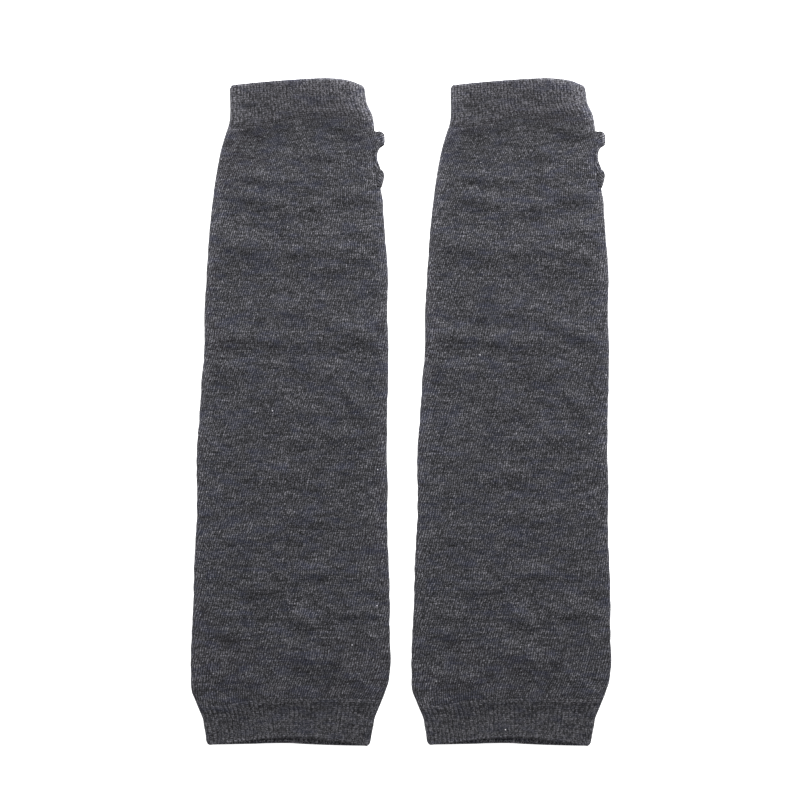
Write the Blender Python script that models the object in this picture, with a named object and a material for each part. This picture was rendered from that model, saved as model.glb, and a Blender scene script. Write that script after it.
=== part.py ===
"""A pair of knitted arm warmers, fingerless and with a thumb hole, laid flat on a table.

Each one is a plain-knit tube with a ribbed edge at both ends and a knitted band round the thumb hole.
Sizes are in millimetres: x runs across the arm from its centre line, and height runs along the arm
from the elbow edge to the finger edge. The tube lies flattened, so its wall makes a front layer over a
rear layer, joined by a rounded fold on each side.
"""
import math
from collections import namedtuple

import bmesh
import bpy
from mathutils import Vector

MM = 0.001

LENGTH = 300.4            # elbow edge to finger edge
SPACING = 99.2            # centre line to centre line of the two arm warmers
WALL = 1.3                # thickness of the knitted cloth
LAYER_GAP = 0.4           # air between the front layer and the rear layer
SEAM_GAP = 0.3            # space between two pieces that are joined
THICKNESS = 2 * WALL + LAYER_GAP
FOLD_RADIUS = THICKNESS / 2

# Outline of the flattened tube: where its left and right folds lie at each height.
Section = namedtuple("Section", "height left right")
SECTIONS = (
    Section(0.0, -37.5, 35.2),
    Section(8.9, -38.7, 36.9),
    Section(14.3, -40.0, 38.2),
    Section(19.7, -42.5, 40.5),
    Section(25.1, -44.3, 42.7),
    Section(30.5, -44.8, 44.1),
    Section(38.6, -44.8, 44.8),
    Section(52.0, -44.3, 44.3),
    Section(66.0, -43.6, 44.4),
    Section(82.0, -43.3, 44.0),
    Section(98.0, -42.3, 43.3),
    Section(114.0, -42.0, 43.5),
    Section(130.0, -42.2, 43.1),
    Section(146.0, -41.1, 43.2),
    Section(163.0, -40.0, 43.6),
    Section(179.0, -38.7, 43.8),
    Section(195.0, -38.7, 43.2),
    Section(211.0, -37.7, 43.6),
    Section(228.0, -36.7, 42.4),
    Section(244.0, -35.1, 41.4),
    Section(250.5, -34.3, 40.6),
    Section(260.0, -32.8, 39.5),
    Section(268.0, -31.2, 38.8),
    Section(276.2, -28.8, 37.9),
    Section(279.8, -27.5, 37.4),
    Section(284.0, -27.0, 36.3),
    Section(288.8, -27.0, 34.1),
    Section(294.2, -27.1, 33.2),
    Section(300.4, -27.0, 32.4),
)

# Lines across the tube, from its left fold at -1 to its right fold at 1.
LinePoint = namedtuple("LinePoint", "across height")
FINGER_EDGE = (
    LinePoint(-1.00, 297.3),
    LinePoint(-0.70, 298.2),
    LinePoint(-0.33, 299.1),
    LinePoint(0.06, 299.9),
    LinePoint(0.43, 300.4),
    LinePoint(0.64, 300.1),
    LinePoint(0.84, 299.2),
    LinePoint(1.00, 297.3),
)
HAND_SEAM = (
    LinePoint(-1.00, 278.0),
    LinePoint(-0.60, 278.7),
    LinePoint(-0.30, 280.6),
    LinePoint(0.00, 282.7),
    LinePoint(0.45, 283.3),
    LinePoint(0.80, 282.8),
    LinePoint(1.00, 282.0),
)
ELBOW_SEAM = (
    LinePoint(-1.00, 17.8),
    LinePoint(-0.75, 18.5),
    LinePoint(-0.45, 20.3),
    LinePoint(0.00, 21.3),
    LinePoint(0.60, 21.4),
    LinePoint(1.00, 21.2),
)
ELBOW_EDGE_FRONT = (
    LinePoint(-1.00, 0.6),
    LinePoint(-0.88, 1.6),
    LinePoint(-0.70, 2.2),
    LinePoint(-0.52, 3.0),
    LinePoint(-0.30, 3.8),
    LinePoint(0.00, 4.0),
    LinePoint(0.30, 3.5),
    LinePoint(0.60, 2.0),
    LinePoint(0.90, 0.6),
    LinePoint(1.00, 0.0),
)
ELBOW_EDGE_REAR = (
    LinePoint(-1.00, 0.5),
    LinePoint(-0.70, 0.7),
    LinePoint(-0.42, 0.9),
    LinePoint(-0.28, 1.1),
    LinePoint(0.00, 1.2),
    LinePoint(0.16, 0.9),
    LinePoint(0.47, 0.4),
    LinePoint(0.80, 0.1),
    LinePoint(1.00, 0.0),
)

# Soft folds of the front layer: middle, half length, half width, turn of the crease from the x axis, lift.
Fold = namedtuple("Fold", "x height half_length half_width turn lift")
FOLDS = (
    Fold(3.5, 274.0, 8.0, 2.4, 93.0, 0.60),
    Fold(12.8, 271.0, 7.0, 2.2, 92.0, 0.50),
    Fold(-9.0, 272.0, 7.0, 2.8, 84.0, 0.45),
    Fold(30.5, 277.5, 5.0, 2.4, -62.0, 0.70),
    Fold(-15.0, 255.5, 10.0, 3.5, -4.0, 0.70),
    Fold(17.0, 256.0, 9.0, 3.5, 0.0, 0.50),
    Fold(29.0, 247.5, 11.0, 4.5, -5.0, 1.00),
    Fold(-14.0, 245.5, 12.0, 4.5, -12.0, 0.90),
    Fold(31.0, 232.0, 12.0, 4.5, -6.0, 0.90),
    Fold(22.0, 222.5, 16.0, 5.5, -9.0, 1.20),
    Fold(-21.0, 224.5, 13.0, 5.0, -16.0, 1.00),
    Fold(-1.0, 196.0, 15.0, 6.0, 3.0, 0.65),
    Fold(28.0, 187.0, 14.0, 4.5, -22.0, 0.95),
    Fold(-4.0, 182.5, 32.0, 4.5, -1.0, 0.85),
    Fold(-26.0, 169.5, 13.0, 4.5, 2.0, 0.60),
    Fold(28.5, 155.5, 12.0, 4.0, -43.0, 0.75),
    Fold(3.0, 150.5, 9.0, 4.5, -8.0, 0.50),
    Fold(21.0, 139.5, 10.0, 4.5, -12.0, 0.65),
    Fold(1.0, 124.0, 9.0, 4.5, 0.0, 0.60),
    Fold(14.0, 101.0, 14.0, 4.5, -8.0, 0.40),
    Fold(-22.0, 94.0, 12.0, 4.5, 9.0, 0.40),
    Fold(-15.0, 71.0, 9.0, 4.5, 12.0, 0.80),
    Fold(28.0, 60.5, 10.0, 4.5, -5.0, 0.80),
    Fold(10.0, 38.5, 9.0, 5.0, -8.0, 0.75),
)
LOFT = 0.55               # how far the front layer stands off the rear one in the middle of the tube
LOFT_FADE = 22.0          # distance from the seams over which the loft grows
EDGE_FADE = 0.25          # share of the half width over which folds fade out at the side folds
ELBOW_MOUTH_LIFT = 0.9    # how far the front edge stands up at the elbow
FINGER_MOUTH_LIFT = 0.5   # the same at the fingers
MOUTH_REACH = 12.0        # how far into the tube that lift goes

# Heights of the rings of the plain tube, between its seams; the thumb hole opens between two of them.
HOLE_BOTTOM = 251.0
HOLE_TOP = 276.8
RINGS_BELOW_HOLE = (
    25.0, 31.0, 38.5, 48.0, 60.0, 71.0, 83.0, 95.0, 108.0, 123.0, 136.0, 146.0, 155.0, 163.0, 170.0, 176.5,
    182.5, 189.0, 197.0, 206.0, 215.0, 223.0, 230.0, 237.0, 245.0,
)
RINGS_IN_HOLE = (251.6, 254.2, 258.0, 262.2, 266.5, 271.0, 274.4, 276.2)
RINGS_ABOVE_HOLE = (280.5,)
SEAM_BEND = 42.0          # distance from a seam over which the rings straighten out
FRONT_STEPS = 24
FOLD_STEPS = 4
REAR_STEPS = 8

# Ribbed edges: one rib is a narrow valley and a flat-topped crest.
FRONT_RIBS = 40
RIB_RISE = 0.35
CORNER_RADIUS = 1.4       # rounds the finger edge off at both side folds
RibPoint = namedtuple("RibPoint", "share rise")
RIB_PROFILE = (RibPoint(0.0, 0.0), RibPoint(0.3, 1.0), RibPoint(0.7, 1.0))
FoldRib = namedtuple("FoldRib", "turn rise")
FOLD_RIBS = (FoldRib(28.0, 1.0), FoldRib(60.0, 1.0), FoldRib(90.0, 0.0), FoldRib(135.0, 0.0))
RIB_LINING_STEPS = 20     # steps of the plain inside of a ribbed edge
HAND_RIB_ROWS = 4
ELBOW_RIB_ROWS = 4

# Thumb band: the edge at the hole and the edge at the tube, from the upper side fold over the front to
# the lower side fold. Turn is how far the cloth has rolled round the fold.
BandRow = namedtuple("BandRow", "hole_x hole_height tube_x tube_height turn")
BAND_ROWS = (
    BandRow(40.50, 270.4, 40.50, 274.4, 90.0),
    BandRow(40.50, 269.9, 40.50, 275.4, 60.0),
    BandRow(40.50, 269.5, 40.40, 276.1, 30.0),
    BandRow(40.40, 269.1, 39.80, 276.4, 0.0),
    BandRow(39.95, 268.6, 38.80, 276.0, 0.0),
    BandRow(39.45, 267.7, 38.70, 271.6, 0.0),
    BandRow(39.10, 266.5, 37.95, 268.2, 0.0),
    BandRow(39.00, 265.2, 37.55, 265.5, 0.0),
    BandRow(39.10, 263.7, 37.50, 262.8, 0.0),
    BandRow(39.50, 262.3, 37.75, 260.7, 0.0),
    BandRow(40.00, 261.1, 38.30, 258.4, 0.0),
    BandRow(40.40, 260.1, 38.80, 255.8, 0.0),
    BandRow(40.50, 259.4, 39.05, 251.9, 0.0),
    BandRow(40.60, 258.9, 39.15, 251.5, 30.0),
    BandRow(40.60, 258.0, 39.15, 251.3, 60.0),
    BandRow(40.60, 257.0, 39.10, 251.3, 90.0),
)
BAND_ROWS_BESIDE_TUBE = BAND_ROWS[4:13]
BAND_CROWN = 0.2          # how far the front of the band swells in the middle
BAND_SHARES = (0.0, 0.5, 1.0)

COLOURS = {
    "arm_tube": (0.067, 0.066, 0.075, 1.0),
    "hand_rib": (0.060, 0.059, 0.067, 1.0),
    "elbow_rib": (0.060, 0.059, 0.067, 1.0),
    "thumb_band": (0.080, 0.078, 0.086, 1.0),
}
KNIT_ROUGHNESS = 0.95

Slot = namedtuple("Slot", "across turn rise")


def clear_scene():
    for item in list(bpy.data.objects):
        bpy.data.objects.remove(item)


def smooth_value(where, points):
    """Value at a place on a smooth curve through (place, value) points, held level past both ends."""
    if where <= points[0][0]:
        return points[0][1]
    if where >= points[-1][0]:
        return points[-1][1]
    last = max(i for i in range(len(points) - 1) if points[i][0] <= where)
    before = points[max(last - 1, 0)]
    start = points[last]
    end = points[last + 1]
    after = points[min(last + 2, len(points) - 1)]
    span = end[0] - start[0]
    t = (where - start[0]) / span
    slope_in = (end[1] - before[1]) / (end[0] - before[0]) * span
    slope_out = (after[1] - start[1]) / (after[0] - start[0]) * span
    return (
        (2 * t**3 - 3 * t**2 + 1) * start[1]
        + (t**3 - 2 * t**2 + t) * slope_in
        + (3 * t**2 - 2 * t**3) * end[1]
        + (t**3 - t**2) * slope_out
    )


LEFT_FOLD = tuple((row.height, row.left) for row in SECTIONS)
RIGHT_FOLD = tuple((row.height, row.right) for row in SECTIONS)
BAND_TUBE_EDGE = tuple((row.tube_height, row.tube_x) for row in reversed(BAND_ROWS_BESIDE_TUBE))


def fade_in(distance, reach):
    """0 at no distance, rising smoothly to 1 at the reach."""
    t = min(max(distance / reach, 0.0), 1.0)
    return t * t * (3 - 2 * t)


def mouth_lift(across, height):
    """How far a mouth's front edge stands up: most at the edge's middle, nothing at the side folds."""
    bow = 1 - across * across
    at_elbow = ELBOW_MOUTH_LIFT * (1 - fade_in(height, MOUTH_REACH))
    at_fingers = FINGER_MOUTH_LIFT * (1 - fade_in(LENGTH - height, MOUTH_REACH))
    return bow * (at_elbow + at_fingers)


def tube_loft(across, height):
    """The slight swell of the front layer between its seams, with the soft folds on it."""
    from_seams = min(height - ELBOW_SEAM[1].height, HAND_SEAM[0].height - height)
    return LOFT * (1 - across * across) * fade_in(from_seams, LOFT_FADE)


def fold_lift(x, height):
    """Sum of the soft folds: each falls away from its crease like a bell curve."""
    total = 0.0
    for fold in FOLDS:
        turn = math.radians(fold.turn)
        along = (x - fold.x) * math.cos(turn) + (height - fold.height) * math.sin(turn)
        aside = (height - fold.height) * math.cos(turn) - (x - fold.x) * math.sin(turn)
        total += fold.lift * math.exp(-(along / fold.half_length) ** 2 - (aside / fold.half_width) ** 2)
    return total


def front_lift(across, x, height):
    """Height of the front layer over the plain flattened tube."""
    inside = fade_in(1 - abs(across), EDGE_FADE)
    from_seams = min(height - ELBOW_SEAM[1].height, HAND_SEAM[-1].height - height)
    folds = fold_lift(x, height) * inside * fade_in(from_seams, MOUTH_REACH / 2)
    return mouth_lift(across, height) + tube_loft(across, height) + folds


def place(slot, height, radius, right_limit=None):
    """A point of the flattened tube: a slot of its ring at a height, with the wall's radius at the folds."""
    left = smooth_value(height, LEFT_FOLD) + FOLD_RADIUS
    right = smooth_value(height, RIGHT_FOLD) - FOLD_RADIUS
    if right_limit is not None:
        right = right_limit
    turn = math.radians(slot.turn)
    flat_x = left + (right - left) * slot.across
    frontness = (1 + math.cos(turn)) / 2
    rolled = radius + slot.rise * RIB_RISE
    lift = front_lift(2 * slot.across - 1, flat_x, height) * frontness
    x = flat_x + rolled * math.sin(turn)
    z = FOLD_RADIUS + rolled * math.cos(turn) + lift
    return Vector((x, height - LENGTH / 2, z)) * MM


def plain_slots(front_steps, fold_steps, rear_steps):
    """Slots round a plain ring: over the front, down the right fold, under the rear, up the left fold."""
    front = [Slot(step / front_steps, 0.0, 0.0) for step in range(front_steps + 1)]
    down = [Slot(1.0, 180.0 * step / fold_steps, 0.0) for step in range(1, fold_steps)]
    rear = [Slot(1 - step / rear_steps, 180.0, 0.0) for step in range(rear_steps + 1)]
    up = [Slot(0.0, 180.0 + 180.0 * step / fold_steps, 0.0) for step in range(1, fold_steps)]
    return front + down + rear + up


def ribbed_slots():
    """Slots round a ribbed ring: ribs over the front and the upper half of both folds, and a flat rear."""
    front = [
        Slot((rib + point.share) / FRONT_RIBS, 0.0, point.rise)
        for rib in range(FRONT_RIBS)
        for point in RIB_PROFILE
    ]
    front.append(Slot(1.0, 0.0, 0.0))
    down = [Slot(1.0, rib.turn, rib.rise) for rib in FOLD_RIBS]
    rear = [Slot(1 - step / REAR_STEPS, 180.0, 0.0) for step in range(REAR_STEPS + 1)]
    up = [Slot(0.0, 360.0 - rib.turn, rib.rise) for rib in reversed(FOLD_RIBS)]
    return front + down + rear + up


def way_round(slot):
    """How far round its ring a slot lies: each layer and each fold counts as one quarter of 4."""
    if slot.turn == 0.0:
        return slot.across
    if slot.turn == 180.0:
        return 3 - slot.across
    return slot.turn / 180.0 + (1 if slot.turn < 180.0 else 2)


def join_rings(bm, ring_a, ring_b):
    """Side faces between two rings of as many points."""
    count = len(ring_a)
    for i in range(count):
        j = (i + 1) % count
        bm.faces.new((ring_a[i], ring_a[j], ring_b[j], ring_b[i]))


def close_wall(bm, outer_ring, outer_slots, inner_ring, inner_slots):
    """The wall's end face: triangles between an outer ring and an inner one with fewer points."""
    outer_way = [way_round(slot) for slot in outer_slots] + [4.0]
    inner_way = [way_round(slot) for slot in inner_slots] + [4.0]
    outer_count = len(outer_ring)
    inner_count = len(inner_ring)
    i = 0
    j = 0
    while i < outer_count or j < inner_count:
        step_outer = j == inner_count or (
            i < outer_count and outer_way[i] + outer_way[i + 1] <= inner_way[j] + inner_way[j + 1]
        )
        here = outer_ring[i % outer_count]
        facing = inner_ring[j % inner_count]
        if step_outer:
            i += 1
            bm.faces.new((here, outer_ring[i % outer_count], facing))
        else:
            j += 1
            bm.faces.new((here, inner_ring[j % inner_count], facing))


def add_wall(bm, inner_places):
    """Wall from an open outer surface and the inner place of each of its points, closed by a rim.

    The folds are too tight for an even offset, so the inner surface has places of its own.
    """
    outer_faces = list(bm.faces)
    rim = [edge for edge in bm.edges if edge.is_boundary]
    inner = {vert: bm.verts.new(inner_places[vert]) for vert in list(bm.verts)}
    for face in outer_faces:
        bm.faces.new([inner[vert] for vert in reversed(face.verts)])
    for edge in rim:
        start, end = edge.verts
        bm.faces.new((start, end, inner[end], inner[start]))


def mesh_from(bm, name):
    bmesh.ops.recalc_face_normals(bm, faces=bm.faces)
    mesh = bpy.data.meshes.new(name)
    bm.to_mesh(mesh)
    bm.free()
    return mesh


def ribbed_wall(name, rows, height_at):
    """A ribbed edge: ribbed rings outside and plain rings inside, joined at both ends."""
    outer_slots = ribbed_slots()
    inner_slots = plain_slots(RIB_LINING_STEPS, FOLD_STEPS, REAR_STEPS)
    bm = bmesh.new()
    outer = []
    inner = []
    for row in range(rows + 1):
        share = row / rows
        outer.append([bm.verts.new(place(s, height_at(s, share), FOLD_RADIUS)) for s in outer_slots])
        inner.append([bm.verts.new(place(s, height_at(s, share), FOLD_RADIUS - WALL)) for s in inner_slots])
    for row in range(rows):
        join_rings(bm, outer[row], outer[row + 1])
        join_rings(bm, inner[row], inner[row + 1])
    for row in (0, rows):
        close_wall(bm, outer[row], outer_slots, inner[row], inner_slots)
    return mesh_from(bm, name)


def hand_rib_mesh():
    """Ribbed edge at the fingers, from the hand seam to the finger edge."""

    def height_at(slot, share):
        across = 2 * slot.across - 1
        start = smooth_value(across, HAND_SEAM) + SEAM_GAP / 2
        corner = CORNER_RADIUS * (1 - abs(math.cos(math.radians(slot.turn))))
        end = smooth_value(across, FINGER_EDGE) - corner
        return start + (end - start) * share

    return ribbed_wall("hand_rib", HAND_RIB_ROWS, height_at)


def elbow_rib_mesh():
    """Ribbed edge at the elbow: its front edge is cut back from its rear edge."""

    def height_at(slot, share):
        across = 2 * slot.across - 1
        frontness = (1 + math.cos(math.radians(slot.turn))) / 2
        start = smooth_value(across, ELBOW_SEAM) - SEAM_GAP / 2
        front = smooth_value(across, ELBOW_EDGE_FRONT)
        rear = smooth_value(across, ELBOW_EDGE_REAR)
        return start + (front * frontness + rear * (1 - frontness) - start) * share

    return ribbed_wall("elbow_rib", ELBOW_RIB_ROWS, height_at)


def tube_height(across, ring_height):
    """Height of a ring of the plain tube: rings near a seam follow its slope, others are straight."""
    hand_end = HAND_SEAM[-1].height
    elbow_end = ELBOW_SEAM[-1].height
    by_hand = 1 - fade_in(hand_end - ring_height, SEAM_BEND)
    by_elbow = 1 - fade_in(ring_height - elbow_end, SEAM_BEND)
    hand_slope = smooth_value(across, HAND_SEAM) - hand_end
    elbow_slope = smooth_value(across, ELBOW_SEAM) - elbow_end
    return ring_height + by_hand * hand_slope + by_elbow * elbow_slope


def arm_tube_mesh():
    """The plain tube, open at both ends and at the thumb hole."""
    slots = plain_slots(FRONT_STEPS, FOLD_STEPS, REAR_STEPS)
    first = ELBOW_SEAM[-1].height + SEAM_GAP / 2
    last = HAND_SEAM[-1].height - SEAM_GAP / 2
    heights = (first,) + RINGS_BELOW_HOLE + (HOLE_BOTTOM,) + RINGS_IN_HOLE + (HOLE_TOP,)
    heights += RINGS_ABOVE_HOLE + (last,)
    bm = bmesh.new()
    rings = []
    inner_places = {}
    for ring_height in heights:
        limit = None
        if ring_height in RINGS_IN_HOLE:
            limit = smooth_value(ring_height, BAND_TUBE_EDGE) - SEAM_GAP
        ring = []
        for slot in slots:
            height = tube_height(2 * slot.across - 1, ring_height)
            vert = bm.verts.new(place(slot, height, FOLD_RADIUS, limit))
            inner_places[vert] = place(slot, height, FOLD_RADIUS - WALL, limit)
            ring.append(vert)
        rings.append(ring)
    right_fold = range(FRONT_STEPS, FRONT_STEPS + FOLD_STEPS)
    for row in range(len(rings) - 1):
        in_hole = HOLE_BOTTOM <= heights[row] < HOLE_TOP
        for i in range(len(slots)):
            if in_hole and i in right_fold:
                continue
            j = (i + 1) % len(slots)
            bm.faces.new((rings[row][i], rings[row][j], rings[row + 1][j], rings[row + 1][i]))
    loose = [vert for vert in bm.verts if not vert.link_faces]
    bmesh.ops.delete(bm, geom=loose, context="VERTS")
    add_wall(bm, inner_places)
    return mesh_from(bm, "arm_tube")


def band_point(row, share, layer, radius):
    """A point of the band: share runs from the hole's edge to the tube's edge, and layer is 1 in front."""
    hole = Vector((row.hole_x, row.hole_height))
    tube = Vector((row.tube_x, row.tube_height))
    edge = (hole - tube).normalized()
    outward = Vector((edge.y, -edge.x))
    if outward.x < 0:
        outward.negate()
    turn = math.radians(row.turn)
    spot = hole.lerp(tube, share) + outward * radius * math.sin(turn)
    crown = BAND_CROWN * 4 * share * (1 - share) * math.cos(turn) if layer > 0 else 0.0
    z = FOLD_RADIUS + layer * radius * math.cos(turn) + crown
    return Vector((spot.x, spot.y - LENGTH / 2, z)) * MM


def thumb_band_mesh():
    """The band: over the front, round the lower fold, back under the rear and round the upper fold."""
    stations = [(row, 1) for row in BAND_ROWS]
    stations += [(row, -1) for row in reversed(BAND_ROWS[1:-1])]
    bm = bmesh.new()
    lines = []
    inner_places = {}
    for row, layer in stations:
        line = []
        for share in BAND_SHARES:
            vert = bm.verts.new(band_point(row, share, layer, FOLD_RADIUS))
            inner_places[vert] = band_point(row, share, layer, FOLD_RADIUS - WALL)
            line.append(vert)
        lines.append(line)
    for i, line in enumerate(lines):
        following = lines[(i + 1) % len(lines)]
        for k in range(len(BAND_SHARES) - 1):
            bm.faces.new((line[k], line[k + 1], following[k + 1], following[k]))
    add_wall(bm, inner_places)
    return mesh_from(bm, "thumb_band")


def make_material(name, colour):
    material = bpy.data.materials.new(name)
    material.use_nodes = True
    shader = material.node_tree.nodes["Principled BSDF"]
    shader.inputs["Base Color"].default_value = colour
    shader.inputs["Roughness"].default_value = KNIT_ROUGHNESS
    shader.inputs["Metallic"].default_value = 0.0
    material.diffuse_color = colour
    return material


def add_piece(collection, parent, name, mesh, colour):
    piece_mesh = mesh.copy()
    piece_mesh.name = name
    piece_mesh.materials.append(make_material(name, colour))
    item = bpy.data.objects.new(name, piece_mesh)
    item.parent = parent
    collection.objects.link(item)


def add_arm_warmer(collection, side, centre_x, meshes):
    """One arm warmer: its four pieces on an empty at its centre line."""
    middle = bpy.data.objects.new(side + "_arm_warmer", None)
    middle.location = (centre_x * MM, 0.0, 0.0)
    collection.objects.link(middle)
    for piece, mesh in meshes.items():
        add_piece(collection, middle, side + "_" + piece, mesh, COLOURS[piece])


def main():
    clear_scene()
    collection = bpy.data.collections.new("arm_warmer_pair")
    bpy.context.scene.collection.children.link(collection)
    meshes = {
        "arm_tube": arm_tube_mesh(),
        "hand_rib": hand_rib_mesh(),
        "elbow_rib": elbow_rib_mesh(),
        "thumb_band": thumb_band_mesh(),
    }
    for side, centre_x in (("left", -SPACING / 2), ("right", SPACING / 2)):
        add_arm_warmer(collection, side, centre_x, meshes)
    for mesh in meshes.values():
        bpy.data.meshes.remove(mesh)
    bpy.context.view_layer.update()


main()
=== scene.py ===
"""A pair of charcoal melange arm warmers with a thumb hole, laid flat: shells, knit and studio.

Each arm warmer is a plain-knit tube with a ribbed edge at both ends and a knitted band round the thumb
hole. Sizes are in millimetres until a mesh is made. x runs across the arm from its centre line, height
runs along the arm from the elbow edge, and the tube lies flattened: a front layer over a rear layer,
joined by a rounded fold on each side.
"""

import logging
import math
from dataclasses import dataclass, replace
from enum import Enum
from functools import partial
from typing import Callable, NamedTuple, Sequence

import bpy
import numpy as np
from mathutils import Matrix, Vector


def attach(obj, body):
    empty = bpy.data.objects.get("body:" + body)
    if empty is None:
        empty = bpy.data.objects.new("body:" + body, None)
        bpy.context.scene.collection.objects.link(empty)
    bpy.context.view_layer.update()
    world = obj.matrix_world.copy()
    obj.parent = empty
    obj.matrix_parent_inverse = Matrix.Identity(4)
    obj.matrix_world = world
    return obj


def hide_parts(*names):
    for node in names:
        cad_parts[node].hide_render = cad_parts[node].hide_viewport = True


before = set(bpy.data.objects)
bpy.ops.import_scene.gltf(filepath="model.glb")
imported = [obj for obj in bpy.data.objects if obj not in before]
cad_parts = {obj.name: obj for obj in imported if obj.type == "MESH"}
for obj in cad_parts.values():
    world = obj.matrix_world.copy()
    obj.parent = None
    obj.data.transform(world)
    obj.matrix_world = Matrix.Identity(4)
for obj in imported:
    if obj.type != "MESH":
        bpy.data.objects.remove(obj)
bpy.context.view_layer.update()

logging.basicConfig(level=logging.INFO, format="%(levelname)s %(message)s")
LOG = logging.getLogger("arm_warmers")

Array = np.ndarray
MM = 0.001
LENGTH = 300.4
SPACING = 99.2
WALL = 1.3
LAYER_GAP = 0.4
THICKNESS = 2 * WALL + LAYER_GAP
FOLD_RADIUS = THICKNESS / 2
SHARP_ANGLE = math.radians(62)
NEEDLES = 168             # wales round the tube, one for each needle of the machine


class LinePoint(NamedTuple):
    """A point of a line across the tube, from the left fold at -1 to the right fold at 1."""

    across: float
    height: float


class Section(NamedTuple):
    """Where the two side folds lie at one height."""

    height: float
    left: float
    right: float


class Crease(NamedTuple):
    """A soft ridge or trough: its middle, half length, half width, turn from the x axis and lift."""

    x: float
    height: float
    half_length: float
    half_width: float
    turn: float
    lift: float


class BandRow(NamedTuple):
    """One row of the thumb band: its edge at the hole, its edge at the tube and its roll at the fold."""

    hole_x: float
    hole_height: float
    tube_x: float
    tube_height: float
    turn: float


class Waves(NamedTuple):
    """An unevenness: its longest and shortest wavelength, in millimetres, and the seed that picks it."""

    longest: float
    shortest: float
    seed: int


def rows_of(kind: type, *rows: tuple[float, ...]) -> tuple:
    """Rows of a table, each as a named tuple of the given kind."""
    return tuple(kind(*row) for row in rows)


# the outermost points of both side folds, from the elbow edge up
SECTIONS = rows_of(
    Section,
    (0.0, -37.5, 35.2), (8.9, -38.7, 36.9), (14.3, -40.0, 38.2), (19.7, -42.5, 40.5),
    (25.1, -44.3, 42.7), (30.5, -44.8, 44.1), (38.6, -44.8, 44.8), (52.0, -44.3, 44.3),
    (66.0, -43.6, 44.4), (82.0, -43.3, 44.0), (98.0, -42.3, 43.3), (114.0, -42.0, 43.5),
    (130.0, -42.2, 43.1), (146.0, -41.1, 43.2), (163.0, -40.0, 43.6), (179.0, -38.7, 43.8),
    (195.0, -38.7, 43.2), (211.0, -37.7, 43.6), (228.0, -36.7, 42.4), (244.0, -35.1, 41.4),
    (250.5, -34.3, 40.6), (260.0, -32.8, 39.5), (268.0, -31.2, 38.8), (276.2, -28.8, 37.9),
    (279.8, -27.5, 37.4), (284.0, -27.0, 36.3), (288.8, -27.0, 34.1), (294.2, -27.1, 33.2),
    (300.4, -27.0, 32.4),
)
LEFT_FOLD = tuple((row.height, row.left) for row in SECTIONS)
RIGHT_FOLD = tuple((row.height, row.right) for row in SECTIONS)

# edges and seams, across the tube
FINGER_EDGE = rows_of(
    LinePoint,
    (-1.00, 297.3), (-0.70, 298.2), (-0.33, 299.1), (0.06, 299.9), (0.43, 300.4),
    (0.64, 300.1), (0.84, 299.2), (1.00, 297.3),
)
HAND_SEAM = rows_of(
    LinePoint,
    (-1.00, 278.0), (-0.60, 278.7), (-0.30, 280.6), (0.00, 282.7), (0.45, 283.3),
    (0.80, 282.8), (1.00, 282.0),
)
ELBOW_SEAM = rows_of(
    LinePoint,
    (-1.00, 17.8), (-0.75, 18.5), (-0.45, 20.3), (0.00, 21.3), (0.60, 21.4),
    (1.00, 21.2),
)
ELBOW_EDGE_FRONT = rows_of(
    LinePoint,
    (-1.00, 0.5), (-0.88, 1.0), (-0.70, 1.7), (-0.52, 2.5), (-0.30, 3.4),
    (0.00, 3.7), (0.30, 3.3), (0.60, 2.0), (0.90, 0.6), (1.00, 0.0),
)
ELBOW_EDGE_REAR = rows_of(
    LinePoint,
    (-1.00, 0.5), (-0.70, 0.7), (-0.42, 0.9), (-0.28, 1.1), (0.00, 1.2),
    (0.16, 0.9), (0.47, 0.4), (0.80, 0.1), (1.00, 0.0),
)

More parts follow.
